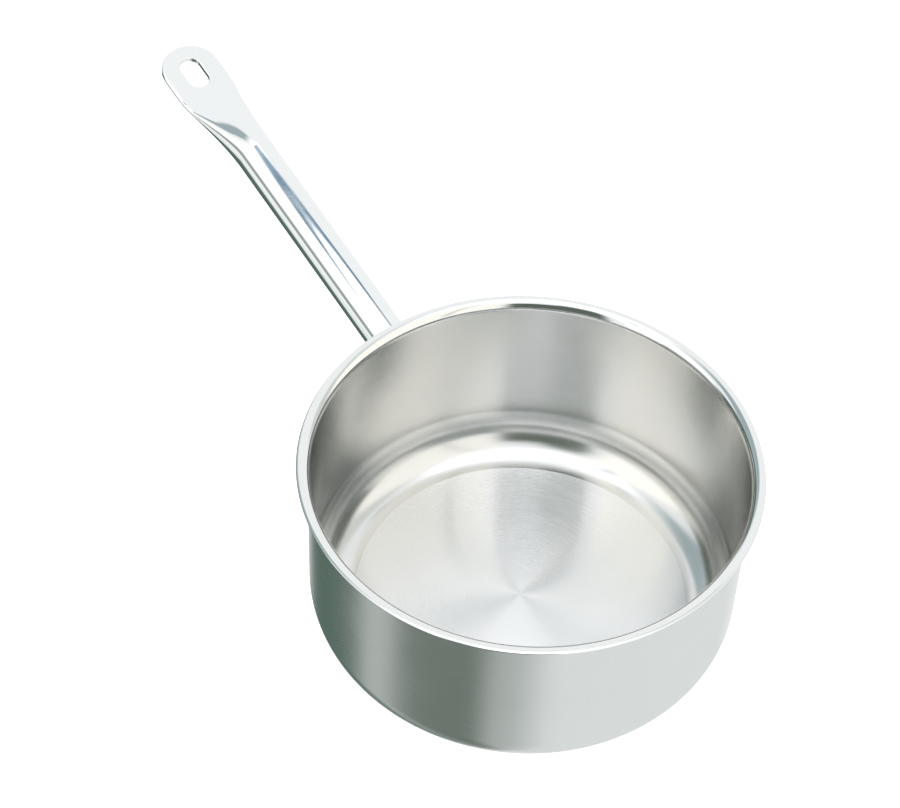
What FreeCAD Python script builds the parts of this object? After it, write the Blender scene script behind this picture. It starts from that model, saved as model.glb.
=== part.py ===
import FreeCAD, Part
import math
import os

import Sketcher
from FreeCAD import Placement, Rotation, Vector

# A stainless saucepan: a deep-drawn shell with a flared pouring lip, a heat-spreading
# base closed by a steel dish, and a tube handle pressed flat at its end and welded on.
# Frame: millimetres, +Z up, origin at the centre of the base on the surface it stands on,
# the handle runs out over +X.

DIMENSIONS = {
    # drawn shell
    "pan_inner_radius": 100.0,
    "pan_height": 103.6,
    "shell_sheet": 1.0,
    "corner_inner_radius": 20.5,
    "lip_upper_radius": 4.5,
    "lip_end_angle": 65.0,
    "lip_edge_round": 0.35,
    # sandwich base
    "base_height": 6.0,
    "base_radius": 79.0,
    "base_corner_radius": 3.0,
    "cap_sheet": 0.6,
    # handle tube
    "tube_radius": 10.0,
    "tube_wall": 1.2,
    "axis_height": 84.5,
    "handle_rise": 16.0,
    # pressed end of the handle
    "press_start": 130.0,
    "crease_place": 167.7,
    "full_width_place": 178.0,
    "handle_length": 204.5,
    "crease_half_width": 14.3,
    "tab_half_width": 15.5,
    "tab_half_thickness": 1.5,
    "tab_drop": 4.0,
    "slot_place": 187.5,
    "slot_length": 18.0,
    "slot_width": 10.9,
    # weld between the tube and the wall
    "weld_bead_radius": 1.6,
}

SECTION_COUNT = 7          # sections of the loft between the round tube and the crease
ROUND_CROWN = math.tan(math.pi / 8)   # crown of a circle drawn as four equal arcs
TAB_CROWN = 0.08           # crown of the pressed tab: almost flat faces, round edges
WIDENING_POWER = 1.5       # how late the tube widens on its way to the crease
NECK_SWELL = 0.75          # share of the tab's last widening that is done halfway along it
TUBE_RUN_IN = 25.0         # length of tube behind the wall that the coping cut takes away
CUTTER_DEPTH = 80.0        # height of the prisms that trim the tab right through

START, END, CENTRE = 1, 2, 3
HORIZONTAL_AXIS, VERTICAL_AXIS = -1, -2

doc = FreeCAD.newDocument("saucepan")
sheet = doc.addObject("Spreadsheet::Sheet", "sizes")
for row, (alias, value) in enumerate(DIMENSIONS.items(), start=1):
    sheet.set("A%d" % row, alias)
    sheet.set("B%d" % row, str(value))
    sheet.setAlias("B%d" % row, alias)
doc.recompute()


def size(alias):
    """The value of one cell of the spreadsheet."""
    return float(sheet.get(alias))


def polar(centre, radius, angle):
    """The point at an angle in degrees on a circle in the sketch plane."""
    turn = math.radians(angle)
    return Vector(centre.x + radius * math.cos(turn), centre.y + radius * math.sin(turn), 0)


def add_line(sketch, start, end):
    return sketch.addGeometry(Part.LineSegment(start, end), False)


def add_arc(sketch, centre, radius, first, last):
    """An arc that runs anticlockwise between two angles in degrees."""
    circle = Part.Circle(centre, Vector(0, 0, 1), radius)
    arc = Part.ArcOfCircle(circle, math.radians(first), math.radians(last))
    return sketch.addGeometry(arc, False)


def tie(sketch, kind, *places):
    sketch.addConstraint(Sketcher.Constraint(kind, *places))


def drive(sketch, kind, places, value, expression):
    """A dimension of the sketch that follows the spreadsheet."""
    index = sketch.addConstraint(Sketcher.Constraint(kind, *places, value))
    sketch.setExpression("Constraints[%d]" % index, expression)


def new_body(label):
    """A body and an empty sketch on its own XZ plane."""
    body = doc.addObject("PartDesign::Body", label)
    body.Label = label
    plane = [o for o in body.Origin.OriginFeatures if o.Role == "XZ_Plane"][0]
    sketch = body.newObject("Sketcher::SketchObject", label + "_outline")
    sketch.AttachmentSupport = [(plane, "")]
    sketch.MapMode = "FlatFace"
    return body, sketch


def revolve(body, sketch):
    """The outline turned once around the vertical axis of its sketch."""
    turn = body.newObject("PartDesign::Revolution", body.Label + "_turned")
    turn.Profile = sketch
    turn.ReferenceAxis = (sketch, ["V_Axis"])
    turn.Angle = 360.0
    sketch.Visibility = False
    body.Tip = turn
    doc.recompute()
    return turn


def make_pan_body():
    """Floor, corner, wall and lip drawn from one sheet."""
    inner, sheet_gauge = size("pan_inner_radius"), size("shell_sheet")
    outer = inner + sheet_gauge
    corner = size("corner_inner_radius")
    under = size("base_height")
    lip = size("lip_upper_radius")
    lip_end = size("lip_end_angle")
    corner_centre = Vector(inner - corner, under + sheet_gauge + corner, 0)
    lip_centre = Vector(inner + lip, size("pan_height") - lip, 0)

    body, sketch = new_body("pan_body")
    axis = add_line(sketch, Vector(0, under + sheet_gauge, 0), Vector(0, under, 0))
    underside = add_line(sketch, Vector(0, under, 0), Vector(corner_centre.x, under, 0))
    corner_out = add_arc(sketch, corner_centre, corner + sheet_gauge, -90, 0)
    wall_out = add_line(sketch, Vector(outer, corner_centre.y, 0), Vector(outer, lip_centre.y, 0))
    lip_under = add_arc(sketch, lip_centre, lip - sheet_gauge, lip_end, 180)
    lip_edge = add_line(sketch, polar(lip_centre, lip - sheet_gauge, lip_end),
                        polar(lip_centre, lip, lip_end))
    lip_top = add_arc(sketch, lip_centre, lip, lip_end, 180)
    wall_in = add_line(sketch, Vector(inner, lip_centre.y, 0), Vector(inner, corner_centre.y, 0))
    corner_in = add_arc(sketch, corner_centre, corner, -90, 0)
    floor = add_line(sketch, Vector(corner_centre.x, under + sheet_gauge, 0),
                     Vector(0, under + sheet_gauge, 0))

    tie(sketch, "Coincident", floor, END, axis, START)
    tie(sketch, "Coincident", axis, END, underside, START)
    tie(sketch, "Tangent", underside, END, corner_out, START)
    tie(sketch, "Tangent", corner_out, END, wall_out, START)
    tie(sketch, "Tangent", wall_out, END, lip_under, END)
    tie(sketch, "Coincident", lip_under, START, lip_edge, START)
    tie(sketch, "Coincident", lip_edge, END, lip_top, START)
    tie(sketch, "Tangent", lip_top, END, wall_in, START)
    tie(sketch, "Tangent", wall_in, END, corner_in, END)
    tie(sketch, "Tangent", corner_in, START, floor, START)
    tie(sketch, "PointOnObject", axis, START, VERTICAL_AXIS)
    tie(sketch, "Vertical", axis)
    tie(sketch, "Horizontal", underside)
    tie(sketch, "Horizontal", floor)
    tie(sketch, "Vertical", wall_out)
    tie(sketch, "Vertical", wall_in)
    tie(sketch, "Coincident", corner_in, CENTRE, corner_out, CENTRE)
    tie(sketch, "Coincident", lip_top, CENTRE, lip_under, CENTRE)
    tie(sketch, "PointOnObject", lip_top, CENTRE, lip_edge)
    drive(sketch, "DistanceY", (HORIZONTAL_AXIS, START, axis, END), under, "sizes.base_height")
    drive(sketch, "DistanceY", (axis, END, axis, START), sheet_gauge, "sizes.shell_sheet")
    drive(sketch, "DistanceX", (HORIZONTAL_AXIS, START, wall_in, END), inner,
          "sizes.pan_inner_radius")
    drive(sketch, "Radius", (corner_in,), corner, "sizes.corner_inner_radius")
    drive(sketch, "Radius", (lip_top,), lip, "sizes.lip_upper_radius")
    drive(sketch, "Angle", (lip_edge,), math.radians(lip_end), "sizes.lip_end_angle * 1 deg")
    drive(sketch, "DistanceY", (HORIZONTAL_AXIS, START, lip_top, CENTRE), lip_centre.y,
          "sizes.pan_height - sizes.lip_upper_radius")
    turned = revolve(body, sketch)

    edge_radii = [polar(lip_centre, r, lip_end).x for r in (lip - sheet_gauge, lip)]
    rim_edges = [
        "Edge%d" % number
        for number, edge in enumerate(turned.Shape.Edges, start=1)
        if edge.Curve.TypeId == "Part::GeomCircle"
        and min(abs(edge.Curve.Radius - r) for r in edge_radii) < 0.01
        and edge.Curve.Center.z > lip_centre.y
    ]
    rounded = body.newObject("PartDesign::Fillet", "lip_edge_rounded")
    rounded.Base = (turned, rim_edges)
    rounded.setExpression("Radius", "sizes.lip_edge_round")
    body.Tip = rounded
    return body


def make_base_core():
    """The aluminium disc under the floor, its lower edge rounded to lie in the dish."""
    reach = size("base_radius") - size("cap_sheet")
    lift, top = size("cap_sheet"), size("base_height")
    corner = size("base_corner_radius") - size("cap_sheet")
    corner_centre = Vector(reach - corner, lift + corner, 0)

    body, sketch = new_body("base_core")
    axis = add_line(sketch, Vector(0, top, 0), Vector(0, lift, 0))
    underside = add_line(sketch, Vector(0, lift, 0), Vector(corner_centre.x, lift, 0))
    rounding = add_arc(sketch, corner_centre, corner, -90, 0)
    side = add_line(sketch, Vector(reach, corner_centre.y, 0), Vector(reach, top, 0))
    upper = add_line(sketch, Vector(reach, top, 0), Vector(0, top, 0))

    tie(sketch, "Coincident", upper, END, axis, START)
    tie(sketch, "Coincident", axis, END, underside, START)
    tie(sketch, "Tangent", underside, END, rounding, START)
    tie(sketch, "Tangent", rounding, END, side, START)
    tie(sketch, "Coincident", side, END, upper, START)
    tie(sketch, "PointOnObject", axis, START, VERTICAL_AXIS)
    tie(sketch, "Vertical", axis)
    tie(sketch, "Horizontal", underside)
    tie(sketch, "Vertical", side)
    tie(sketch, "Horizontal", upper)
    drive(sketch, "DistanceY", (HORIZONTAL_AXIS, START, axis, END), lift, "sizes.cap_sheet")
    drive(sketch, "DistanceY", (HORIZONTAL_AXIS, START, axis, START), top, "sizes.base_height")
    drive(sketch, "DistanceX", (HORIZONTAL_AXIS, START, side, END), reach,
          "sizes.base_radius - sizes.cap_sheet")
    drive(sketch, "Radius", (rounding,), corner, "sizes.base_corner_radius - sizes.cap_sheet")
    revolve(body, sketch)
    return body


def make_base_cap():
    """The thin steel dish that closes the disc from below and meets the shell."""
    reach, gauge, top = size("base_radius"), size("cap_sheet"), size("base_height")
    corner = size("base_corner_radius")
    corner_centre = Vector(reach - corner, corner, 0)

    body, sketch = new_body("base_cap")
    axis = add_line(sketch, Vector(0, gauge, 0), Vector(0, 0, 0))
    underside = add_line(sketch, Vector(0, 0, 0), Vector(corner_centre.x, 0, 0))
    corner_out = add_arc(sketch, corner_centre, corner, -90, 0)
    side_out = add_line(sketch, Vector(reach, corner, 0), Vector(reach, top, 0))
    rim = add_line(sketch, Vector(reach, top, 0), Vector(reach - gauge, top, 0))
    side_in = add_line(sketch, Vector(reach - gauge, top, 0), Vector(reach - gauge, corner, 0))
    corner_in = add_arc(sketch, corner_centre, corner - gauge, -90, 0)
    inside = add_line(sketch, Vector(corner_centre.x, gauge, 0), Vector(0, gauge, 0))

    tie(sketch, "Coincident", inside, END, axis, START)
    tie(sketch, "Coincident", axis, END, underside, START)
    tie(sketch, "Tangent", underside, END, corner_out, START)
    tie(sketch, "Tangent", corner_out, END, side_out, START)
    tie(sketch, "Coincident", side_out, END, rim, START)
    tie(sketch, "Coincident", rim, END, side_in, START)
    tie(sketch, "Tangent", side_in, END, corner_in, END)
    tie(sketch, "Tangent", corner_in, START, inside, START)
    tie(sketch, "Coincident", axis, END, HORIZONTAL_AXIS, START)
    tie(sketch, "Vertical", axis)
    tie(sketch, "Horizontal", underside)
    tie(sketch, "Vertical", side_out)
    tie(sketch, "Horizontal", rim)
    tie(sketch, "Vertical", side_in)
    tie(sketch, "Horizontal", inside)
    tie(sketch, "Coincident", corner_in, CENTRE, corner_out, CENTRE)
    drive(sketch, "DistanceY", (axis, END, axis, START), gauge, "sizes.cap_sheet")
    drive(sketch, "DistanceY", (HORIZONTAL_AXIS, START, side_out, END), top, "sizes.base_height")
    drive(sketch, "DistanceX", (HORIZONTAL_AXIS, START, side_out, END), reach,
          "sizes.base_radius")
    drive(sketch, "Radius", (corner_out,), corner, "sizes.base_corner_radius")
    revolve(body, sketch)
    return body


def oval_wire(along, half_width, half_height, drop, crown):
    """A closed section across the tube made of four tangent arcs.

    Equal half sizes give the tube's circle, whose crown of tan(22.5 deg) makes four equal
    arcs. A crown near 0 gives flat faces with half-round edges.
    """
    ratio = crown * half_height / half_width
    side = half_height * (1 - crown) / (1 - ratio)
    lean = math.pi / 2 - 2 * math.atan(ratio)

    def point(y, z):
        return Vector(along, y, z - drop)

    join_y = half_width - side + side * math.cos(lean)
    join_z = side * math.sin(lean)
    corners = [point(join_y, -join_z), point(join_y, join_z),
               point(-join_y, join_z), point(-join_y, -join_z)]
    middles = [point(half_width, 0), point(0, half_height),
               point(-half_width, 0), point(0, -half_height)]
    arcs = [
        Part.Arc(corners[i], middles[i], corners[(i + 1) % 4]).toShape() for i in range(4)
    ]
    return Part.Wire(arcs)


def pressing(share):
    """How far the tube is pressed at a share of the way to the crease, from 0 to 1.

    The mean of a curve that ends level and one that doesn't: it starts smoothly and still
    slopes at the crease, where the tool's edge left a line.
    """
    level_at_the_end = share ** 2 * (3 - 2 * share)
    sloping_at_the_end = share ** 2
    return (level_at_the_end + sloping_at_the_end) / 2


def pressed_section(share, inset):
    """The tube's section between the round tube (0) and the crease (1), inset by a wall."""
    radius = size("tube_radius")
    along = size("press_start") + share * (size("crease_place") - size("press_start"))
    pressed = pressing(share)
    half_height = radius + pressed * (size("tab_half_thickness") - radius)
    widening = size("crease_half_width") - radius
    half_width = radius + share ** WIDENING_POWER * widening
    crown = ROUND_CROWN + pressed * (TAB_CROWN - ROUND_CROWN)
    return oval_wire(along, half_width - inset, half_height - inset,
                     pressed * size("tab_drop"), crown)


def pressed_loft(inset):
    shares = [i / (SECTION_COUNT - 1) for i in range(SECTION_COUNT)]
    return Part.makeLoft([pressed_section(share, inset) for share in shares], True, False)


def tab_section(along, half_width):
    return oval_wire(along, half_width, size("tab_half_thickness"), size("tab_drop"), TAB_CROWN)


def stadium_prism(near, far, radius):
    """A tall prism, round at both ends, whose plan runs between two centres on the tube."""
    corners = [Vector(near, -radius, 0), Vector(far, -radius, 0),
               Vector(far, radius, 0), Vector(near, radius, 0)]
    wire = Part.Wire([
        Part.LineSegment(corners[0], corners[1]).toShape(),
        Part.Arc(corners[1], Vector(far + radius, 0, 0), corners[2]).toShape(),
        Part.LineSegment(corners[2], corners[3]).toShape(),
        Part.Arc(corners[3], Vector(near - radius, 0, 0), corners[0]).toShape(),
    ])
    face = Part.Face(wire)
    face.translate(Vector(0, 0, -CUTTER_DEPTH / 2))
    return face.extrude(Vector(0, 0, CUTTER_DEPTH))


def handle_placement():
    """From the tube's own frame, +X along its axis, to the part's frame."""
    wall_radius = size("pan_inner_radius") + size("shell_sheet")
    foot = Vector(wall_radius, 0, size("axis_height"))
    return Placement(foot, Rotation(Vector(0, 1, 0), -size("handle_rise")))


def wall_cylinder_in_tube_frame():
    """The outside of the pan's wall, as the handle's own frame sees it."""
    wall_radius = size("pan_inner_radius") + size("shell_sheet")
    cylinder = Part.makeCylinder(wall_radius, 2 * size("pan_height"),
                                 Vector(0, 0, -size("pan_height") / 2))
    cylinder.Placement = handle_placement().inverse().multiply(cylinder.Placement)
    return cylinder


def make_handle():
    """A hollow tube, coped to the wall, pressed into a flat tab with a slot."""
    radius, wall = size("tube_radius"), size("tube_wall")
    start, crease = size("press_start"), size("crease_place")
    full, length = size("full_width_place"), size("handle_length")
    tab_half = size("tab_half_width")
    backwards = Vector(-TUBE_RUN_IN, 0, 0)
    along = Vector(1, 0, 0)

    tube = Part.makeCylinder(radius, start + TUBE_RUN_IN, backwards, along)
    middle = (crease + full) / 2
    crease_half = size("crease_half_width")
    middle_half = crease_half + NECK_SWELL * (tab_half - crease_half)
    neck = Part.makeLoft([tab_section(crease, crease_half),
                          tab_section(middle, middle_half),
                          tab_section(full, tab_half)], True, False)
    plate = Part.Face(tab_section(full, tab_half)).extrude(Vector(length - full, 0, 0))
    outside = tube.fuse([pressed_loft(0.0), neck, plate])

    bore = Part.makeCylinder(radius - wall, start + TUBE_RUN_IN, backwards, along)
    hollow = bore.fuse(pressed_loft(wall))

    end_round = stadium_prism(0.0, length - tab_half, tab_half)
    slot_radius = size("slot_width") / 2
    slot_reach = size("slot_length") / 2 - slot_radius
    slot = stadium_prism(size("slot_place") - slot_reach, size("slot_place") + slot_reach,
                         slot_radius)

    blank = outside.cut(hollow).common(end_round)
    solid = blank.cut(slot).cut(wall_cylinder_in_tube_frame()).removeSplitter()
    feature = doc.addObject("Part::Feature", "handle")
    feature.Label = "handle"
    feature.Shape = solid.Solids[0]
    feature.Placement = handle_placement()
    return feature


def make_handle_weld():
    """The bead in the corner where the tube meets the wall, all the way round it."""
    radius = size("tube_radius")
    wall = wall_cylinder_in_tube_frame()
    tube = Part.makeCylinder(radius, size("press_start"), Vector(-TUBE_RUN_IN, 0, 0),
                             Vector(1, 0, 0))
    joined = wall.fuse(tube)

    def is_corner(edge):
        middle = edge.valueAt((edge.FirstParameter + edge.LastParameter) / 2)
        on_tube = abs(math.hypot(middle.y, middle.z) - radius) < 0.001
        return on_tube and abs(middle.x) < radius

    corner_edges = [edge for edge in joined.Edges if is_corner(edge)]
    beaded = joined.makeFillet(size("weld_bead_radius"), corner_edges)
    solid = beaded.cut(joined)
    feature = doc.addObject("Part::Feature", "handle_weld")
    feature.Label = "handle_weld"
    feature.Shape = max(solid.Solids, key=lambda piece: piece.Volume)
    feature.Placement = handle_placement()
    return feature


def export(pieces):
    """Checks every object of the document, then writes one STEP file for each piece."""
    doc.recompute()
    for item in doc.Objects:
        if "Invalid" in item.State or "Error" in item.State:
            raise RuntimeError("%s did not recompute: %s" % (item.Name, item.State))
    for piece in pieces:
        if piece.Shape.isNull() or not piece.Shape.isValid() or len(piece.Shape.Solids) != 1:
            raise RuntimeError("%s is not one valid solid" % piece.Label)
    os.makedirs("parts", exist_ok=True)
    for piece in pieces:
        piece.Shape.exportStep("parts/%s.step" % piece.Label)
        bounds = piece.Shape.BoundBox
        print("%-12s volume %9.1f mm3  x %.2f..%.2f  z %.2f..%.2f" % (
            piece.Label, piece.Shape.Volume, bounds.XMin, bounds.XMax, bounds.ZMin, bounds.ZMax))


export([make_pan_body(), make_base_core(), make_base_cap(), make_handle(), make_handle_weld()])
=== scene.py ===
import math

import bmesh
import bpy
from mathutils import Matrix, Vector


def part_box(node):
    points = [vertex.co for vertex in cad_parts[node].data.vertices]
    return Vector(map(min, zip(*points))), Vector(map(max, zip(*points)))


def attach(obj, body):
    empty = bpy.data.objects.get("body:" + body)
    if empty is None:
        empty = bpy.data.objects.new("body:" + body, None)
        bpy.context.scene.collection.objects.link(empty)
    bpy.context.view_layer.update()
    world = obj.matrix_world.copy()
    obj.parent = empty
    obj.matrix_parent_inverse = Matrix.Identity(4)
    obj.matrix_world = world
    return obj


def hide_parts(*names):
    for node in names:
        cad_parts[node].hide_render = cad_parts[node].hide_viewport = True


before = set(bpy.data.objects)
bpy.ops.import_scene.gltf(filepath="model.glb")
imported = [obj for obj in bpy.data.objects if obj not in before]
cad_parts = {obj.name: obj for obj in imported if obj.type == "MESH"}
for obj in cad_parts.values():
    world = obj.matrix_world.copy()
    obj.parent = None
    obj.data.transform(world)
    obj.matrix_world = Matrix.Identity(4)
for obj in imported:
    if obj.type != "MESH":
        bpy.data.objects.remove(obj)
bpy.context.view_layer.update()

# ---------------------------------------------------------------- sizes, in metres
# The frame's own boxes give the places; these are the gauges and radii of the sheet.
PAN_LOW, PAN_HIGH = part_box("pan_body")
_, CAP_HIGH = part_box("base_cap")

INNER_RADIUS = 0.100
SHEET = 0.001
OUTER_RADIUS = INNER_RADIUS + SHEET
CORNER_RADIUS = 0.0205
LIP_RADIUS = 0.0045
LIP_END_ANGLE = math.radians(65.0)
LIP_EDGE_ROUND = 0.00045
RIM_HEIGHT = PAN_HIGH.z
UNDERSIDE = PAN_LOW.z

CAP_RADIUS = CAP_HIGH.x
CAP_SHEET = 0.0006
CAP_CORNER = 0.003

TUBE_RADIUS = 0.010
HANDLE_RISE = math.radians(16.0)
HANDLE_FOOT = Vector((OUTER_RADIUS, 0.0, 0.0845))
PRESS_START = 0.130
CREASE_PLACE = 0.1677
FULL_WIDTH_PLACE = 0.178
HANDLE_LENGTH = 0.2045
CREASE_HALF_WIDTH = 0.0143
TAB_HALF_WIDTH = 0.0155
TAB_HALF_THICKNESS = 0.0015
TAB_DROP = 0.004
SLOT_PLACE = 0.1875
SLOT_LENGTH = 0.018
SLOT_WIDTH = 0.0109
EDGE_BREAK = 0.0004
WELD_LEG = 0.0016

# from the tube's own frame, +X along its axis, to the part's frame
HANDLE_FRAME = Matrix.Translation(HANDLE_FOOT) @ Matrix.Rotation(-HANDLE_RISE, 4, "Y")

# how full a section's broad faces are: a circle's own value, and nearly flat for the tab
ROUND_CROWN = math.tan(math.pi / 8)
TAB_CROWN = 0.08
WIDENING_POWER = 1.5
NECK_SHARE = 0.5   # how much of the pressing follows the smooth curve, the rest being sloped
TAB_END_EASE = math.radians(24)   # turn over which the side folds become the cut edge

FLAT_HEIGHT = TAB_HALF_THICKNESS - 0.00005   # height of the tab's faces at the cut edges
COPED_RUN = 0.006   # from the wall to the tube's first square ring

QUARTER = math.pi / 2
SPIN_SEGMENTS = 384
TUBE_SEGMENTS = 128
TUBE_RINGS = 13
PRESS_RINGS = 64
FOLD_RINGS = 28
TAB_END_STEPS = 72
TAB_FACE_STEPS = 14
TAB_FACE_CROWDING = 1.3   # above 1 the face's rings crowd towards the slot
BREAK_STEPS = 6
STATION_NUDGE = 2e-5   # keeps a normal on its own side of the crease


# ---------------------------------------------------------------- mesh helpers
class Patchwork:
    """A mesh made of grids of points that each carry the exact normal of the surface."""

    def __init__(self):
        self.vertices, self.normals, self.faces, self.slots = [], [], [], []

    def grid(self, rows, closed=False, slot=0):
        """Rows of (point, normal). In a closed grid each row's end joins its start."""
        start, width = len(self.vertices), len(rows[0])
        for row in rows:
            for point, normal in row:
                self.vertices.append(tuple(point))
                self.normals.append(tuple(normal))
        for r in range(len(rows) - 1):
            here, above = start + r * width, start + (r + 1) * width
            for c in range(width if closed else width - 1):
                d = (c + 1) % width
                self.faces.append((here + c, here + d, above + d, above + c))
                self.slots.append(slot)

    def finish(self, name, cad_node, cad_slot, matrix=Matrix.Identity(4)):
        """Welds the grids where they touch into one object that stands in for a CAD node."""
        mesh = bpy.data.meshes.new(name)
        mesh.from_pydata(self.vertices, [], self.faces)
        mesh.transform(matrix)
        turn = matrix.to_3x3()
        normals = [turn @ Vector(normal) for normal in self.normals]
        kept = mesh.attributes.new("surface_normal", "FLOAT_VECTOR", "CORNER")
        kept.data.foreach_set(
            "vector", [x for face in self.faces for i in face for x in normals[i]])
        mesh.polygons.foreach_set("material_index", self.slots)
        mesh.polygons.foreach_set("use_smooth", [True] * len(self.faces))
        work = bmesh.new()
        work.from_mesh(mesh)
        bmesh.ops.remove_doubles(work, verts=work.verts, dist=1e-7)
        work.to_mesh(mesh)
        work.free()
        flat = [0.0] * (3 * len(mesh.loops))
        mesh.attributes["surface_normal"].data.foreach_get("vector", flat)
        mesh.attributes.remove(mesh.attributes["surface_normal"])
        mesh.normals_split_custom_set([flat[i:i + 3] for i in range(0, len(flat), 3)])
        piece = bpy.data.objects.new(name, mesh)
        bpy.context.scene.collection.objects.link(piece)
        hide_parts(cad_node)
        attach(piece, "root")
        return piece


def line_run(start, end, count):
    """Points of a straight run of an outline, each with the normal on its right side."""
    along = (end - start).normalized()
    normal = Vector((along.y, -along.x))
    return [(start.lerp(end, i / count), normal) for i in range(count + 1)]


def arc_run(centre, radius, first, last, count):
    """Points of an arc. The normals point outwards when it turns left, else inwards."""
    side = 1.0 if last > first else -1.0
    run = []
    for i in range(count + 1):
        turn = first + (last - first) * i / count
        spoke = Vector((math.cos(turn), math.sin(turn)))
        run.append((centre + radius * spoke, side * spoke))
    return run


def turned(runs_and_slots):
    """Runs of an outline, in the XZ plane, turned about Z."""
    work = Patchwork()
    turns = [2 * math.pi * i / SPIN_SEGMENTS for i in range(SPIN_SEGMENTS)]
    circle = [(math.cos(turn), math.sin(turn)) for turn in turns]
    for run, slot in runs_and_slots:
        rows = [[((p.x * c, p.x * s, p.y), (n.x * c, n.x * s, n.y)) for c, s in circle]
                for p, n in run]
        work.grid(rows, closed=True, slot=slot)
    return work


# ---------------------------------------------------------------- the drawn shell
def build_pan_shell():
    """One sheet: underside, outer corner, wall, lip, inner wall, inner corner, floor."""
    floor = UNDERSIDE + SHEET
    corner = Vector((INNER_RADIUS - CORNER_RADIUS, floor + CORNER_RADIUS))
    lip = Vector((INNER_RADIUS + LIP_RADIUS, RIM_HEIGHT - LIP_RADIUS))

    # the cut edge of the lip is rounded from both sides, with a narrow flat left between
    middle_radius = LIP_RADIUS - SHEET / 2
    edge = LIP_END_ANGLE + LIP_EDGE_ROUND / middle_radius
    spoke = Vector((math.cos(edge), math.sin(edge)))
    low_round = lip + (LIP_RADIUS - SHEET + LIP_EDGE_ROUND) * spoke
    high_round = lip + (LIP_RADIUS - LIP_EDGE_ROUND) * spoke
    sideways = edge - QUARTER
    flat_normal = Vector((math.cos(sideways), math.sin(sideways)))

    underside, outside, rim, inside, inner_corner, bottom = range(6)
    return turned([
        (line_run(Vector((0, UNDERSIDE)), Vector((corner.x, UNDERSIDE)), 6), underside),
        (arc_run(corner, CORNER_RADIUS + SHEET, -QUARTER, 0, 28), outside),
        (line_run(Vector((OUTER_RADIUS, corner.y)), Vector((OUTER_RADIUS, lip.y)), 10), outside),
        (arc_run(lip, LIP_RADIUS - SHEET, math.pi, edge, 24), rim),
        (arc_run(low_round, LIP_EDGE_ROUND, edge - math.pi, sideways, 8), rim),
        ([(low_round + LIP_EDGE_ROUND * flat_normal, flat_normal),
          (high_round + LIP_EDGE_ROUND * flat_normal, flat_normal)], rim),
        (arc_run(high_round, LIP_EDGE_ROUND, sideways, edge, 8), rim),
        (arc_run(lip, LIP_RADIUS, edge, math.pi, 32), rim),
        (line_run(Vector((INNER_RADIUS, lip.y)), Vector((INNER_RADIUS, corner.y)), 10), inside),
        (arc_run(corner, CORNER_RADIUS, 0, -QUARTER, 32), inner_corner),
        (line_run(Vector((corner.x, floor)), Vector((0, floor)), 8), bottom),
    ]).finish("pan_shell", "pan_body", "pan_steel")


def build_base_dish():
    """The steel dish pressed over the aluminium disc."""
    top = CAP_HIGH.z
    side = CAP_RADIUS
    corner = Vector((side - CAP_CORNER, CAP_CORNER))
    inside = side - CAP_SHEET
    return turned([(run, 0) for run in (
        line_run(Vector((0, 0)), Vector((corner.x, 0)), 8),
        arc_run(corner, CAP_CORNER, -QUARTER, 0, 16),
        line_run(Vector((side, corner.y)), Vector((side, top)), 2),
        line_run(Vector((side, top)), Vector((inside, top)), 1),
        line_run(Vector((inside, top)), Vector((inside, corner.y)), 2),
        arc_run(corner, CAP_CORNER - CAP_SHEET, 0, -QUARTER, 8),
        line_run(Vector((corner.x, CAP_SHEET)), Vector((0, CAP_SHEET)), 4),
    )]).finish("base_dish", "base_cap", "base_steel")


# ---------------------------------------------------------------- the handle
def oval(half_width, half_height, crown, share):
    """A point (y, z) and its normal on a section of four tangent arcs.

    share runs from 0 to 1 round the section, from the right side over the top. Each
    quarter of the way covers one quarter of the section, from side to crown.
    """
    ratio = crown * half_height / half_width
    side = half_height * (1 - crown) / (1 - ratio)
    lean = QUARTER - 2 * math.atan(ratio)
    reach = half_width - side
    broad = side + reach / math.cos(lean)
    quarter = int(share * 4) % 4
    part = share * 4 - int(share * 4)
    if quarter % 2:
        part = 1.0 - part
    # part runs from the side (0) to the middle of the broad face (1), and the arcs meet halfway
    halfway = 0.5
    if part < halfway:
        turn = lean * part / halfway
        y, z = reach + side * math.cos(turn), side * math.sin(turn)
    else:
        slide = (1 - (part - halfway) / (1 - halfway)) * broad * math.cos(lean)
        turn = math.acos(slide / broad)
        y, z = broad * math.cos(turn), half_height - broad + broad * math.sin(turn)
    ny, nz = math.cos(turn), math.sin(turn)
    if quarter in (1, 2):
        y, ny = -y, -ny
    if quarter in (2, 3):
        z, nz = -z, -nz
    return (y, z), (ny, nz)


def pressed_section(along):
    """Half width, half height, drop and crown of the tube at a place along its axis."""
    if along <= PRESS_START:
        return TUBE_RADIUS, TUBE_RADIUS, 0.0, ROUND_CROWN
    if along >= CREASE_PLACE:
        share = min((along - CREASE_PLACE) / (FULL_WIDTH_PLACE - CREASE_PLACE), 1.0)
        swell = 1 - (1 - share) ** 2
        width = CREASE_HALF_WIDTH + swell * (TAB_HALF_WIDTH - CREASE_HALF_WIDTH)
        return width, TAB_HALF_THICKNESS, TAB_DROP, TAB_CROWN
    share = (along - PRESS_START) / (CREASE_PLACE - PRESS_START)
    smooth = share ** 2 * (3 - 2 * share)
    pressed = NECK_SHARE * smooth + (1 - NECK_SHARE) * share ** 2
    height = TUBE_RADIUS + pressed * (TAB_HALF_THICKNESS - TUBE_RADIUS)
    width = TUBE_RADIUS + share ** WIDENING_POWER * (CREASE_HALF_WIDTH - TUBE_RADIUS)
    return width, height, pressed * TAB_DROP, ROUND_CROWN + pressed * (TAB_CROWN - ROUND_CROWN)


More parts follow.
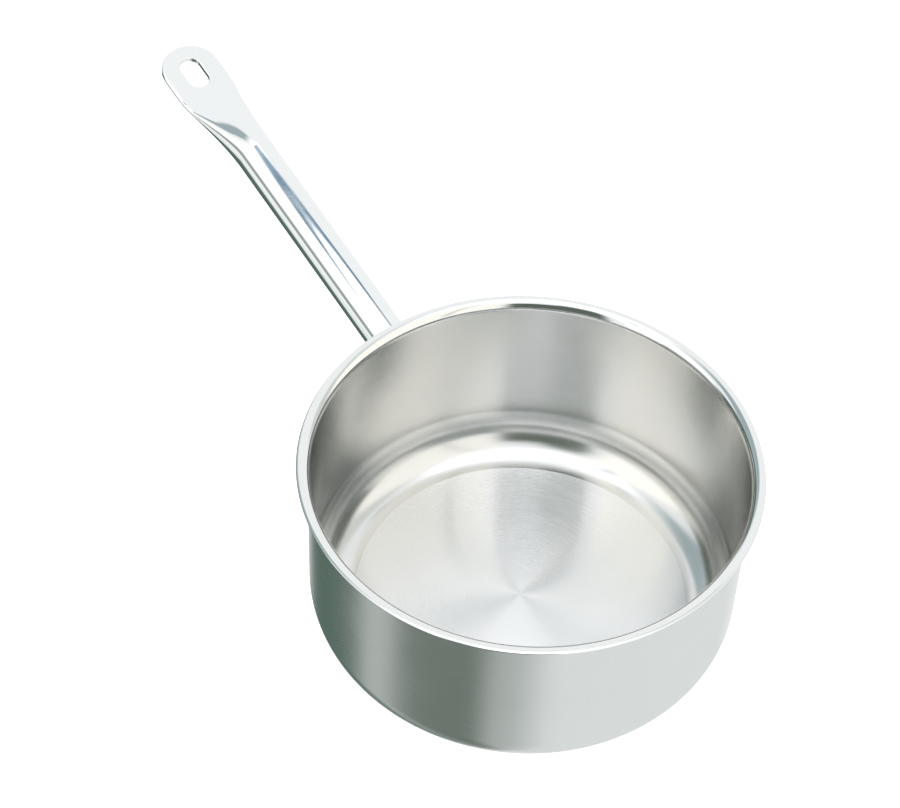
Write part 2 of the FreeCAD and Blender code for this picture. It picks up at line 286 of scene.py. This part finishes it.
def tube_point(along, share):
    """A point of the tube's surface at a place along its axis and a share of the way round."""
    width, height, drop, crown = pressed_section(along)
    (y, z), _ = oval(width, height, crown, share)
    return Vector((along, y, z - drop))


def tube_normal(along, share):
    """The outward normal, from the section's own normal leaned back by the tube's taper."""
    width, height, drop, crown = pressed_section(along)
    _, (ny, nz) = oval(width, height, crown, share)
    half_step = 1e-5
    before = tube_point(along - half_step, share)
    after = tube_point(along + half_step, share)
    slope = after - before
    flat = Vector((0, ny, nz))
    return (flat - Vector((1, 0, 0)) * (flat.dot(slope) / slope.x)).normalized()


def wall_meets_tube(y, z):
    """How far along the axis a line on the tube meets the outside of the pan's wall."""
    wall_x = math.sqrt(OUTER_RADIUS ** 2 - y ** 2)
    return (wall_x - OUTER_RADIUS + z * math.sin(HANDLE_RISE)) / math.cos(HANDLE_RISE)


def slot_edge(direction):
    """The slot's edge seen from its middle in a plan direction, and its outward normal."""
    radius = SLOT_WIDTH / 2
    reach = SLOT_LENGTH / 2 - radius
    dx, dy = abs(direction.x), abs(direction.y)
    # the ray meets the straight side, or else the round end
    if dy > 1e-9 and radius * dx / dy <= reach:
        point = Vector((radius * dx / dy, radius))
        normal = Vector((0.0, 1.0))
    else:
        run = reach * dx + math.sqrt(max((reach * dx) ** 2 - reach ** 2 + radius ** 2, 0.0))
        point = Vector((run * dx, run * dy))
        normal = (point - Vector((reach, 0))) / radius
    for axis in (0, 1):
        if direction[axis] < 0:
            point[axis], normal[axis] = -point[axis], -normal[axis]
    return point, normal


def build_handle():
    """The round tube, the pressed run, the tab with its slot, and the coped end."""
    work = Patchwork()
    up, down = Vector((0, 0, 1)), Vector((0, 0, -1))
    shares = [i / TUBE_SEGMENTS for i in range(TUBE_SEGMENTS)]

    # round tube: its first ring lies on the pan's wall
    coped = []
    for share in shares:
        point, normal = tube_point(0.0, share), tube_normal(0.0, share)
        point.x = wall_meets_tube(point.y, point.z)
        coped.append((point, normal))
    rows = [coped]
    for i in range(1, TUBE_RINGS + 1):
        along = COPED_RUN + (PRESS_START - COPED_RUN) * i / TUBE_RINGS
        rows.append([(tube_point(along, s), tube_normal(along, s)) for s in shares])
    for i in range(1, PRESS_RINGS + 1):
        along = PRESS_START + (CREASE_PLACE - PRESS_START) * i / PRESS_RINGS
        measured = along - STATION_NUDGE if i == PRESS_RINGS else along
        rows.append([(tube_point(along, s), tube_normal(measured, s)) for s in shares])
    work.grid(rows, closed=True)
    middle = Vector((wall_meets_tube(0, 0), 0, 0))
    backwards = Vector((-1, 0, 0))
    work.grid([[(middle, backwards) for _ in coped], [(point, backwards) for point, _ in coped]],
              closed=True)

    # tab: side folds from the crease to where the round end starts
    end_start = HANDLE_LENGTH - TAB_HALF_WIDTH
    stations = [CREASE_PLACE + (end_start - CREASE_PLACE) * i / FOLD_RINGS
                for i in range(FOLD_RINGS + 1)]
    eighth = TUBE_SEGMENTS // 8
    right = [i / TUBE_SEGMENTS for i in range(-eighth, eighth + 1)]
    left = [0.5 + share for share in right]
    for fold in (right, left):
        work.grid([[(tube_point(x, s % 1.0), tube_normal(x + 5 * STATION_NUDGE, s % 1.0)) for s in fold]
                   for x in stations])

    # round end: from the lower face over the cut edge to the upper face
    last_point = tube_point(HANDLE_LENGTH, right[-1])
    fold_inset = TAB_HALF_WIDTH - last_point.y
    fold_height = last_point.z + TAB_DROP
    end_rows = []
    for i in range(TAB_END_STEPS + 1):
        turn = QUARTER - math.pi * i / TAB_END_STEPS
        ease = min(1.0, (QUARTER - abs(turn)) / TAB_END_EASE)
        ease = ease * ease * (3 - 2 * ease)
        break_radius = fold_inset + ease * (EDGE_BREAK - fold_inset)
        height = fold_height + ease * (FLAT_HEIGHT - fold_height)
        spoke = Vector((math.cos(turn), math.sin(turn)))
        row = []
        for k in range(-eighth, eighth + 1):
            (fold_y, fold_z), (fold_ny, fold_nz) = oval(
                TAB_HALF_WIDTH, TAB_HALF_THICKNESS, TAB_CROWN, (k / TUBE_SEGMENTS) % 1.0)
            side, lift = math.copysign(1, k), abs(k) / eighth
            lean = math.pi * max(lift - 0.5, 0.0)
            flat_z = (height - break_radius) * min(2 * lift, 1.0)
            cut_y = TAB_HALF_WIDTH - break_radius * (1 - math.cos(lean))
            cut_z = side * (flat_z + break_radius * math.sin(lean))
            y, z = fold_y + ease * (cut_y - fold_y), fold_z + ease * (cut_z - fold_z)
            ny = fold_ny + ease * (math.cos(lean) - fold_ny)
            nz = fold_nz + ease * (side * math.sin(lean) - fold_nz)
            point = Vector((end_start + y * spoke.x, y * spoke.y, z - TAB_DROP))
            row.append((point, Vector((ny * spoke.x, ny * spoke.y, nz)).normalized()))
        end_rows.append(row)
    work.grid(end_rows)

    # outline of the flat face: crease, right fold, round end, left fold, back to the crease
    def face_edge(point):
        return Vector((point.x, point.y)), point.z + TAB_DROP

    crease_shares = [i / TUBE_SEGMENTS for i in range(3 * eighth, eighth, -1)]
    edge = [face_edge(tube_point(CREASE_PLACE, share)) for share in crease_shares]
    edge += [face_edge(tube_point(x, right[-1])) for x in stations]
    edge += [face_edge(row[-1][0]) for row in end_rows[1:-1]]
    edge += [face_edge(tube_point(x, left[0])) for x in reversed(stations)][:-1]

    # flat faces, from the slot's broken edge out to that outline
    slot_centre = Vector((SLOT_PLACE, 0))
    upper_rows = [[] for _ in range(TAB_FACE_STEPS + 1)]
    middle_row = BREAK_STEPS + 1
    last_row = 2 * middle_row
    wall_rows = [[] for _ in range(last_row + 1)]
    for point, height in edge:
        inner, outward = slot_edge((point - slot_centre).normalized())
        inner += slot_centre
        start = inner + EDGE_BREAK * outward
        for k in range(TAB_FACE_STEPS + 1):
            share = (k / TAB_FACE_STEPS) ** TAB_FACE_CROWDING
            place = start.lerp(point, share)
            z = FLAT_HEIGHT + share * (height - FLAT_HEIGHT)
            upper_rows[k].append(Vector((place.x, place.y, z)))
        for k in range(last_row + 1):
            side = 1 if k < middle_row else -1
            if k == middle_row:
                wall_rows[k].append((Vector((inner.x, inner.y, -TAB_DROP)),
                                     Vector((-outward.x, -outward.y, 0))))
                continue
            turn = QUARTER * (1 - (min(k, last_row - k)) / BREAK_STEPS)
            back = EDGE_BREAK * (1 - math.cos(turn))
            place = inner + back * outward
            z = side * (FLAT_HEIGHT - EDGE_BREAK * (1 - math.sin(turn))) - TAB_DROP
            normal = Vector((-outward.x * math.cos(turn), -outward.y * math.cos(turn),
                             side * math.sin(turn)))
            wall_rows[k].append((Vector((place.x, place.y, z)), normal))
    drop = Vector((0, 0, -TAB_DROP))
    work.grid([[(p + drop, up) for p in row] for row in upper_rows], closed=True)
    flip = Vector((1, 1, -1))
    work.grid([[(p * flip + drop, down) for p in row] for row in reversed(upper_rows)],
              closed=True)
    work.grid(list(reversed(wall_rows)), closed=True)

    return work.finish("handle_tube", "handle", "handle_steel", HANDLE_FRAME)


def build_weld():
    """A rippled fillet bead in the corner between the tube and the wall."""
    around, across, ripples = 360, 14, 46
    ripple_depth, hollow = 0.05, 1.4   # a hollow above 1 sinks the bead's face
    forwards = Vector((1, 0, 0))
    bead, on_tube, on_wall = [], [], []
    for i in range(around + 1):
        turn = 2 * math.pi * (i % around) / around
        spoke = Vector((0, math.cos(turn), math.sin(turn)))

        def on_cope(radius):
            y, z = radius * spoke.y, radius * spoke.z
            return Vector((wall_meets_tube(y, z), y, z))

        row = []
        for k in range(across + 1):
            lean = QUARTER * k / across
            ripple = math.sin(2 * lean) * math.sin(ripples * turn + 1.5 * math.sin(2 * lean))
            leg = WELD_LEG * (1 - ripple_depth + ripple_depth * ripple)
            out, lift = leg * math.cos(lean) ** hollow, leg * math.sin(lean) ** hollow
            point = on_cope(TUBE_RADIUS + out) + lift * forwards
            row.append((point, (math.cos(lean) * spoke + math.sin(lean) * forwards)))
        root = on_cope(TUBE_RADIUS)
        bead.append(row)
        on_tube.append([(row[-1][0], -spoke), (root, -spoke)])
        on_wall.append([(root, -forwards), (row[0][0], -forwards)])
    work = Patchwork()
    for rows in (bead, on_tube, on_wall):
        work.grid(list(reversed(rows)))
    return work.finish("weld_bead", "handle_weld", "weld_steel", HANDLE_FRAME)


shell = build_pan_shell()
dish = build_base_dish()
handle = build_handle()
weld = build_weld()


# ---------------------------------------------------------------- materials
class Shader:
    """The node tree of a material or a world, with short calls for the nodes used below."""

    def __init__(self, name, world=None):
        self.material = world or bpy.data.materials.new(name)
        self.material.use_nodes = True
        self.tree = self.material.node_tree
        self.tree.nodes.clear()
        self.output = self.node("ShaderNodeOutputWorld" if world else "ShaderNodeOutputMaterial")
        self.surface = self.node("ShaderNodeBackground" if world else "ShaderNodeBsdfPrincipled")
        self.tree.links.new(self.surface.outputs[0], self.output.inputs[0])

    def node(self, kind, inputs=None, **settings):
        made = self.tree.nodes.new(kind)
        for name, value in settings.items():
            setattr(made, name, value)
        for name, value in (inputs or {}).items():
            self.put(made.inputs[name], value)
        return made

    def put(self, socket, value):
        if isinstance(value, bpy.types.NodeSocket):
            self.tree.links.new(value, socket)
        else:
            socket.default_value = value

    def math(self, operation, a, b=0.0, c=0.0):
        return self.node("ShaderNodeMath", {0: a, 1: b, 2: c}, operation=operation).outputs[0]

    def noise(self, vector, scale, detail=2.0, roughness=0.5):
        made = self.node("ShaderNodeTexNoise", {"Vector": vector, "Scale": scale,
                                                "Detail": detail, "Roughness": roughness})
        return made.outputs["Fac"]

    def remap(self, value, low, high, to_low=0.0, to_high=1.0, smooth=False):
        made = self.node("ShaderNodeMapRange", {"Value": value, "From Min": low,
                                                "From Max": high, "To Min": to_low,
                                                "To Max": to_high},
                         interpolation_type="SMOOTHSTEP" if smooth else "LINEAR")
        return made.outputs[0]

    def combine(self, x, y, z):
        return self.node("ShaderNodeCombineXYZ", {0: x, 1: y, 2: z}).outputs[0]

    def stretch(self, vector, scale):
        made = self.node("ShaderNodeVectorMath", {0: vector, 1: scale}, operation="MULTIPLY")
        return made.outputs[0]


def around_axis(shader):
    """Two places on a turned surface: spoke and run along the outline, and the plain one."""
    place = shader.node("ShaderNodeTexCoord").outputs["Object"]
    parts = shader.node("ShaderNodeSeparateXYZ", {0: place})
    flat = shader.combine(parts.outputs[0], parts.outputs[1], 0.0)
    radius = shader.node("ShaderNodeVectorMath", {0: flat}, operation="LENGTH").outputs["Value"]
    spoke = shader.node("ShaderNodeVectorMath", {0: flat}, operation="NORMALIZE").outputs[0]
    run = shader.math("ADD", radius, parts.outputs[2])
    ways = shader.node("ShaderNodeSeparateXYZ", {0: spoke})
    return shader.combine(ways.outputs[0], ways.outputs[1], run), place


def contour_scratches(shader, vector, scale, width, cover, seed):
    """Thin curved lines: the contours of a noise, kept only where a second noise is high."""
    shifted = shader.node("ShaderNodeVectorMath", {0: vector, 1: (seed, seed * 1.7, seed * 0.3)},
                          operation="ADD").outputs[0]
    field = shader.noise(shifted, scale, 1.0)
    line = shader.remap(shader.math("ABSOLUTE", shader.math("SUBTRACT", field, 0.5)),
                        width, 0.0)
    patches = shader.remap(shader.noise(shifted, scale * 0.35, 2.0), cover, cover + 0.1)
    return shader.math("MULTIPLY", line, patches)


def brushed_steel(name, colour, roughness, anisotropic, line_depth, scratch_depth=1.2e-6,
                  grain_width=0.00028):
    """Stainless steel brushed round the pan's axis, with fine grooves and a few scratches."""
    shader = Shader(name)
    ring_place, place = around_axis(shader)
    fine = shader.noise(shader.stretch(ring_place, (9.0, 9.0, 1 / grain_width)), 1.0, 3.0, 0.6)
    broad = shader.noise(shader.stretch(ring_place, (3.0, 3.0, 0.22 / grain_width)), 1.0, 2.0)
    haze = shader.noise(place, 22.0, 3.0, 0.55)
    scratches = contour_scratches(shader, shader.stretch(ring_place, (2.0, 2.0, 90.0)),
                                  1.0, 0.006, 0.52, 4.0)
    grooves = shader.math("ADD", shader.math("MULTIPLY", fine, 0.65),
                          shader.math("MULTIPLY", broad, 0.35))
    relief = shader.math("ADD", shader.math("MULTIPLY", grooves, line_depth),
                         shader.math("MULTIPLY", scratches, -scratch_depth))
    bump = shader.node("ShaderNodeBump", {"Height": relief, "Distance": 1.0, "Strength": 1.0})
    rough = shader.math("ADD", shader.remap(grooves, 0.3, 0.7, -0.025, 0.025),
                        shader.remap(haze, 0.35, 0.65, roughness - 0.02, roughness + 0.02))
    tone = shader.math("ADD", shader.remap(grooves, 0.3, 0.7, 0.965, 1.0),
                       shader.math("MULTIPLY", scratches, 0.03))
    tint = shader.node("ShaderNodeMix", {"Factor": 1.0, 6: (*colour, 1.0)},
                       data_type="RGBA", blend_type="MULTIPLY")
    shader.put(tint.inputs[7], shader.combine(tone, tone, tone))
    tangent = shader.node("ShaderNodeTangent", direction_type="RADIAL", axis="Z")
    shader.put(shader.surface.inputs["Base Color"], tint.outputs[2])
    shader.put(shader.surface.inputs["Roughness"], rough)
    shader.put(shader.surface.inputs["Normal"], bump.outputs[0])
    shader.put(shader.surface.inputs["Tangent"], tangent.outputs[0])
    shader.surface.inputs["Metallic"].default_value = 1.0
    shader.surface.inputs["Anisotropic"].default_value = anisotropic
    shader.surface.inputs["Anisotropic Rotation"].default_value = 0.25
    return shader.material


def polished_steel(name, colour, roughness, wave_depth, wave_size=0.018):
    """Buffed stainless steel: a mirror with faint buffing marks and a slight waviness."""
    shader = Shader(name)
    place = shader.node("ShaderNodeTexCoord").outputs["Object"]
    waves = shader.noise(place, 1 / wave_size, 1.0)
    buffing = shader.noise(place, 900.0, 3.0, 0.6)
    smudge = shader.noise(place, 30.0, 3.0, 0.6)
    scratches = contour_scratches(shader, place, 60.0, 0.004, 0.56, 2.0)
    relief = shader.math("ADD", shader.math("MULTIPLY", waves, wave_depth),
                         shader.math("MULTIPLY", shader.math("ADD", buffing, scratches), 1.5e-7))
    bump = shader.node("ShaderNodeBump", {"Height": relief, "Distance": 1.0, "Strength": 1.0})
    rough = shader.math("ADD", shader.remap(smudge, 0.4, 0.65, roughness, roughness + 0.035),
                        shader.math("MULTIPLY", scratches, 0.05))
    tone = shader.remap(buffing, 0.3, 0.7, 0.975, 1.0)
    tint = shader.node("ShaderNodeMix", {"Factor": 1.0, 6: (*colour, 1.0)},
                       data_type="RGBA", blend_type="MULTIPLY")
    shader.put(tint.inputs[7], shader.combine(tone, tone, tone))
    shader.put(shader.surface.inputs["Base Color"], tint.outputs[2])
    shader.put(shader.surface.inputs["Roughness"], rough)
    shader.put(shader.surface.inputs["Normal"], bump.outputs[0])
    shader.surface.inputs["Metallic"].default_value = 1.0
    return shader.material


def dress(piece, *materials):
    """Gives a piece its materials. Each face keeps its slot, which the clearing would reset."""
    slots = [face.material_index for face in piece.data.polygons]
    piece.data.materials.clear()
    for material in materials:
        piece.data.materials.append(material)
    piece.data.polygons.foreach_set("material_index", slots)


STEEL = (0.80, 0.805, 0.80)
# in the order of the shell's slots: underside, outside, rim, inside, inner corner, floor
dress(shell,
      brushed_steel("shell_underside", STEEL, 0.36, 0.9, 4e-6),
      brushed_steel("shell_outside", STEEL, 0.25, 0.6, 0.6e-6),
      polished_steel("lip_polish", (0.87, 0.875, 0.875), 0.06, 3e-6),
      # painted shade: the inner wall, the same steel as the rest of the sheet, gets a darker colour so
      # that it renders darker, as shade would make it
      brushed_steel("shell_inside_painted_shade", (0.76, 0.762, 0.75), 0.17, 0.8, 0.35e-6),
      brushed_steel("shell_corner", (0.82, 0.825, 0.82), 0.19, 0.3, 0.25e-6),
      # painted light: the pan's floor, the same steel as the rest of the sheet, gets a lighter colour
      # so that it renders brighter, as more light would make it
      brushed_steel("shell_floor_painted_light", (0.93, 0.935, 0.94), 0.25, 1.0, 0.6e-6))
dress(dish, brushed_steel("dish_turned", STEEL, 0.36, 0.9, 5e-6, grain_width=0.0006))
dress(handle, polished_steel("handle_polish", (0.9, 0.905, 0.91), 0.05, 3e-6))
dress(weld, polished_steel("weld_brushed", (0.7, 0.69, 0.67), 0.28, 6e-6, 0.004))
dress(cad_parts["base_core"],
      brushed_steel("core_aluminium_turned", (0.8, 0.81, 0.82), 0.5, 0.6, 5e-6,
                    grain_width=0.0008))


# ---------------------------------------------------------------- floor, light and camera
def build_floor():
    """A plain pale floor, lit from within so that it stays white. The steel doesn't show it."""
    mesh = bpy.data.meshes.new("floor")
    reach = 4.0
    mesh.from_pydata([(-reach, -reach, 0), (reach, -reach, 0), (reach, reach, 0),
                      (-reach, reach, 0)], [], [(0, 1, 2, 3)])
    floor = bpy.data.objects.new("floor", mesh)
    bpy.context.scene.collection.objects.link(floor)
    shader = Shader("floor_pale")
    place = shader.node("ShaderNodeTexCoord").outputs["Object"]
    tone = shader.remap(shader.noise(place, 3.0, 2.0), 0.3, 0.7, 0.93, 0.95)
    shader.put(shader.surface.inputs["Base Color"], shader.combine(tone, tone, tone))
    shader.surface.inputs["Roughness"].default_value = 0.9
    shader.surface.inputs["Emission Color"].default_value = (1.0, 1.0, 1.0, 1.0)
    shader.surface.inputs["Emission Strength"].default_value = 0.8
    dress(floor, shader.material)
    floor.visible_glossy = False


build_floor()

# The studio around the pan, painted in order, later over earlier: azimuths and elevations
# in degrees in the part's frame, the width of the soft edge, and the light's colour.
WALL_LIGHTS = [
    ("room", -180, 180, -90, 90, 1, (0.98, 1.0, 1.0)),
    ("table", 60, 279, -90, -20, 12, (0.52, 0.56, 0.54)),
    ("table_right", 150, 279, -90, -20, 32, (0.86, 0.90, 0.90)),
    ("rear_softbox", 160, 248, -10, 66, 8, (1.15, 1.13, 1.05)),
    ("rear_gap", 181, 187, 15, 66, 2, (0.8, 0.8, 0.74)),
    ("rear_edge", 248, 268, 0, 62, 10, (0.70, 0.73, 0.69)),
    ("dark_corner", -12, 51, -90, 20, 10, (0.10, 0.16, 0.13)),
    ("dark_corner_top", -10, 34, 20, 62, 12, (0.38, 0.46, 0.48)),
    ("left_softbox", 52, 100, 16, 80, 5, (1.32, 1.30, 1.22)),
    ("left_horizon", 48, 84, -3, 12, 3, (0.35, 0.40, 0.38)),
    ("table_glow", 54, 67, -90, -40, 8, (0.56, 0.61, 0.59)),
    ("camera_shadow", 72, 124, -90, -36, 16, (0.16, 0.20, 0.17)),
    ("camera_table", 84, 150, -42, -10, 10, (0.30, 0.34, 0.31)),
    ("camera_side", 110, 156, -20, 36, 8, (0.12, 0.14, 0.12)),
    ("camera_top", 108, 157, 34, 51, 6, (0.09, 0.12, 0.09)),
    ("camera_arm", 108, 132, 46, 59, 6, (0.16, 0.20, 0.17)),
    ("ceiling", -180, 180, 70, 100, 8, (1.9, 1.92, 1.95)),
]
# Bars of the ceiling frame: x and y where each crosses a ceiling one unit above the pan.
CEILING_BARS = [
    ("lamp_gap", 0.115, 0.165, -0.65, 0.45, 0.012, (0.14, 0.26, 0.36)),
]


def build_studio():
    """The light that the steel reflects. The camera itself sees plain white past the floor."""
    shader = Shader("studio", bpy.data.worlds.new("studio"))
    direction = shader.node("ShaderNodeTexCoord").outputs["Generated"]
    ways = shader.node("ShaderNodeSeparateXYZ", {0: direction})
    x, y, z = ways.outputs
    azimuth = shader.math("DEGREES", shader.math("ARCTAN2", y, x))
    elevation = shader.math("DEGREES", shader.math("ARCSINE", z))
    above = shader.math("MAXIMUM", z, 0.001)
    ceiling_x, ceiling_y = shader.math("DIVIDE", x, above), shader.math("DIVIDE", y, above)

    def inside(value, low, high, edge):
        middle, half = (low + high) / 2, (high - low) / 2
        away = shader.math("ABSOLUTE", shader.math("SUBTRACT", value, middle))
        return shader.remap(away, half + edge / 2, half - edge / 2, smooth=True)

    def paint(colour, mask, light):
        mix = shader.node("ShaderNodeMix", {"Factor": mask, 6: colour, 7: (*light, 1.0)},
                          data_type="RGBA")
        return mix.outputs[2]

    colour = (0.0, 0.0, 0.0, 1.0)
    for _, left, right, low, high, edge, light in WALL_LIGHTS:
        turned_by = shader.math("SUBTRACT", azimuth, (left + right) / 2)
        turned_by = shader.math("WRAP", turned_by, 180.0, -180.0)
        half = (right - left) / 2
        mask = shader.math("MULTIPLY", inside(turned_by, -half, half, edge),
                           inside(elevation, low, high, edge))
        colour = paint(colour, mask, light)
    for _, left, right, near, far, edge, light in CEILING_BARS:
        mask = shader.math("MULTIPLY", inside(ceiling_x, left, right, edge),
                           inside(ceiling_y, near, far, edge))
        colour = paint(colour, mask, light)
    seen = shader.node("ShaderNodeLightPath").outputs["Is Camera Ray"]
    colour = paint(colour, seen, (1.0, 1.0, 1.0))
    shader.put(shader.surface.inputs["Color"], colour)
    bpy.context.scene.world = shader.material


build_studio()


def build_camera():
    """The photograph's view: a long lens, high over the side away from the handle."""
    azimuth, elevation = math.radians(139.0), math.radians(49.33)
    distance = 1.1262
    back = Vector((math.cos(azimuth) * math.cos(elevation),
                   math.sin(azimuth) * math.cos(elevation), math.sin(elevation)))
    place = Vector((0, 0, RIM_HEIGHT)) + distance * back
    aim = Vector((0.08068, -0.01495, 0.060))
    tilt = math.radians(2.643)
    data = bpy.data.cameras.new("camera")
    data.lens = 99.68
    data.sensor_width = 36.0
    data.clip_start, data.clip_end = 0.05, 20.0
    camera = bpy.data.objects.new("camera", data)
    bpy.context.scene.collection.objects.link(camera)
    look = (aim - place).to_track_quat("-Z", "Y").to_matrix()
    camera.matrix_world = (Matrix.Translation(place)
                           @ (look @ Matrix.Rotation(tilt, 3, "Z")).to_4x4())
    bpy.context.scene.camera = camera


build_camera()
bpy.context.scene.view_settings.view_transform = "Standard"
